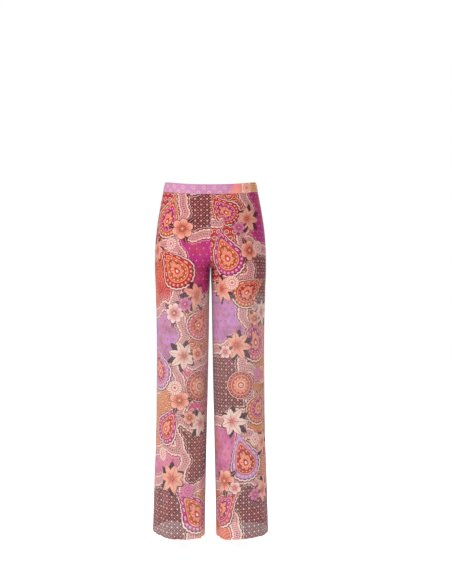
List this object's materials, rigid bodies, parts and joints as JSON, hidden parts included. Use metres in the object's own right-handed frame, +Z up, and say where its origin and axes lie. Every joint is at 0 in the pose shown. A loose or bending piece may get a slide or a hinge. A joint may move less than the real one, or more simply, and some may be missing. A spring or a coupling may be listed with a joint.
{
  "type": "palazzo pants",
  "caption": "High-waisted palazzo pants in printed sheer cloth, worn and hollow, with straight wide legs, a plain waistband, short lining legs and a concealed centre-back zip.",
  "frame": {"origin": "middle of the waist, level with the waistband's top edge at the side seams, where the wearer holds the garment", "axes": "+Z up, -Y the front, +X the wearer's left"},
  "size_m": [0.3476, 0.2391, 1.045],
  "materials": {
    "printed_sheer": "soft matt, lightly sheer print in magenta, orange, peach, plum and lilac",
    "waistband_print": "soft matt, orchid print with small rings",
    "lining": "matt rose",
    "zip_tape": "matt woven tape",
    "zip_metal": "satin enamel"
  },
  "bodies": {
    "garment": {"front_left": "printed_sheer", "front_right": "printed_sheer", "back_left": "printed_sheer", "back_right": "printed_sheer", "waistband_front": "waistband_print", "waistband_back_left": "waistband_print", "waistband_back_right": "waistband_print", "lining_front_left": "lining", "lining_front_right": "lining", "lining_back_left": "lining", "lining_back_right": "lining", "zip_tape_left": "zip_tape", "zip_tape_right": "zip_tape", "zip_slider": "zip_metal"},
    "zip_pull": {"zip_pull": "zip_metal"}
  },
  "joints": [
    {"name": "zip_pull_swing", "type": "hinge", "parent": "garment", "child": "zip_pull", "pos_m": [0, 0.09594, -0.00935], "axis": [1, 0, 0], "range_deg": [0, 150]}
  ]
}
